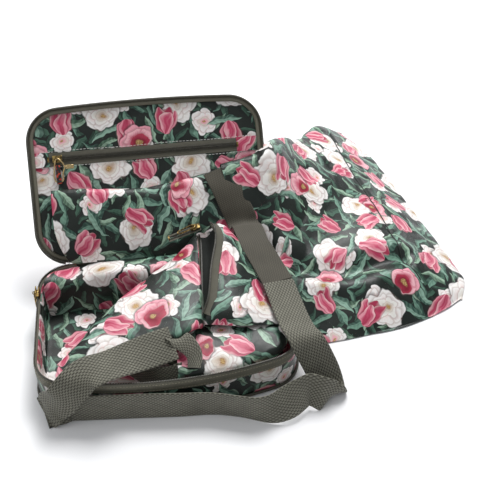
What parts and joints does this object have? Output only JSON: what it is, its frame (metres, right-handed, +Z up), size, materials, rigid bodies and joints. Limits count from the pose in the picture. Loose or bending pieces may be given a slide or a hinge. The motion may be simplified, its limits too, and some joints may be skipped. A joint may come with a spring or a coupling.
{
  "type": "foldaway travel holdall in its zip case",
  "caption": "Open zip-round case with a floral foldaway holdall half pulled out: lid pocket, loose cloth in the tray and on the floor, long webbing handle.",
  "frame": {"origin": "middle of the tray's flat underside", "axes": "+X to the right, +Y to the back where the lid is hinged, +Z up"},
  "size_m": [0.5392, 0.5445, 0.1962],
  "materials": {
    "floral_cloth": "semi-gloss coated cotton, floral print",
    "floral_lining": "coated cotton lining, floral print",
    "stiffener_board": "matt polyethylene board",
    "wadding": "needle-punched wadding",
    "khaki_piping": "woven, covered cord",
    "khaki_zip_tape": "ribbed woven tape",
    "khaki_webbing": "basket-weave webbing",
    "dark_coil": "satin nylon coil",
    "antique_brass": "antique brass, satin",
    "pale_gold": "pale gold plate, polished",
    "tag_cloth": "coated cloth tag"
  },
  "bodies": {
    "case": {"handle_join_patch": "khaki_webbing", "holdall_back_roll": "floral_cloth", "holdall_bottom_panel": "floral_cloth", "holdall_end_panel": "floral_cloth", "holdall_floor_body": "floral_cloth", "holdall_front_fold": "floral_cloth", "holdall_left_panel": "floral_cloth", "holdall_side_panel": "floral_cloth", "inner_handle": "khaki_webbing", "long_handle_diagonal": "khaki_webbing", "long_handle_front": "khaki_webbing", "long_handle_right": "khaki_webbing", "mouth_zip_coil_back": "dark_coil", "mouth_zip_coil_front": "dark_coil", "mouth_zip_stop": "antique_brass", "mouth_zip_tape_back": "khaki_zip_tape", "mouth_zip_tape_front": "khaki_zip_tape", "tray_base_board": "stiffener_board", "tray_base_lining": "floral_lining", "tray_base_piping": "khaki_piping", "tray_base_skin": "floral_cloth", "tray_hinge_panel": "floral_cloth", "tray_wall_foam": "wadding", "tray_wall_lining": "floral_lining", "tray_wall_skin": "floral_cloth", "tray_zip_coil": "dark_coil", "tray_zip_stops": "antique_brass", "tray_zip_tape": "khaki_zip_tape"},
    "lid": {"lid_board": "stiffener_board", "lid_edge_piping": "khaki_piping", "lid_foam": "wadding", "lid_hinge_panel": "floral_cloth", "lid_lining_lower": "floral_lining", "lid_lining_upper": "floral_lining", "lid_pocket_back": "floral_lining", "lid_skin": "floral_cloth", "lid_zip_coil": "dark_coil", "lid_zip_stops": "antique_brass", "lid_zip_tape": "khaki_zip_tape", "pocket_zip_tape_upper": "khaki_zip_tape", "pocket_zip_tape_lower": "khaki_zip_tape", "pocket_zip_coil_upper": "dark_coil", "pocket_zip_coil_lower": "dark_coil", "pocket_zip_stops": "antique_brass", "holdall_lid_drape": "floral_cloth", "long_handle_upper": "khaki_webbing"},
    "round_slider": {"round_zip_slider": "antique_brass"},
    "round_pull": {"round_zip_pull": "antique_brass"},
    "pocket_slider": {"pocket_zip_slider": "antique_brass"},
    "pocket_pull": {"pocket_pull_loop": "pale_gold", "pocket_pull_tab": "pale_gold", "pocket_pull_tag": "tag_cloth"},
    "mouth_slider": {"mouth_zip_slider": "antique_brass"},
    "mouth_pull": {"mouth_zip_pull": "antique_brass"}
  },
  "joints": [
    {"name": "lid_hinge", "type": "hinge", "parent": "case", "child": "lid", "pos_m": [0, 0.0965, 0.048], "axis": [1, 0, 0], "range_deg": [-48, 30]},
    {"name": "round_zip_slide", "type": "slide", "parent": "case", "child": "round_slider", "axis": [0, -1, 0], "range_m": [0, 0.092]},
    {"name": "round_pull_swing", "type": "hinge", "parent": "round_slider", "child": "round_pull", "pos_m": [-0.1479, 0.046, 0.05], "axis": [0, 1, 0], "range_deg": [0, 100]},
    {"name": "pocket_zip_slide", "type": "slide", "parent": "lid", "child": "pocket_slider", "axis": [1, 0, 0], "range_m": [0, 0.15]},
    {"name": "pocket_pull_swing", "type": "hinge", "parent": "pocket_slider", "child": "pocket_pull", "pos_m": [-0.111, 0.17985, 0.14515], "axis": [-1, 0, 0], "range_deg": [0, 120]},
    {"name": "mouth_zip_slide", "type": "slide", "parent": "case", "child": "mouth_slider", "axis": [-0.9578, -0.0982, -0.2701], "range_m": [0, 0.026]},
    {"name": "mouth_pull_swing", "type": "hinge", "parent": "mouth_slider", "child": "mouth_pull", "pos_m": [0.04592, 0.07941, 0.1011], "axis": [-0.0945, 0.9952, -0.0267], "range_deg": [0, 120]}
  ]
}
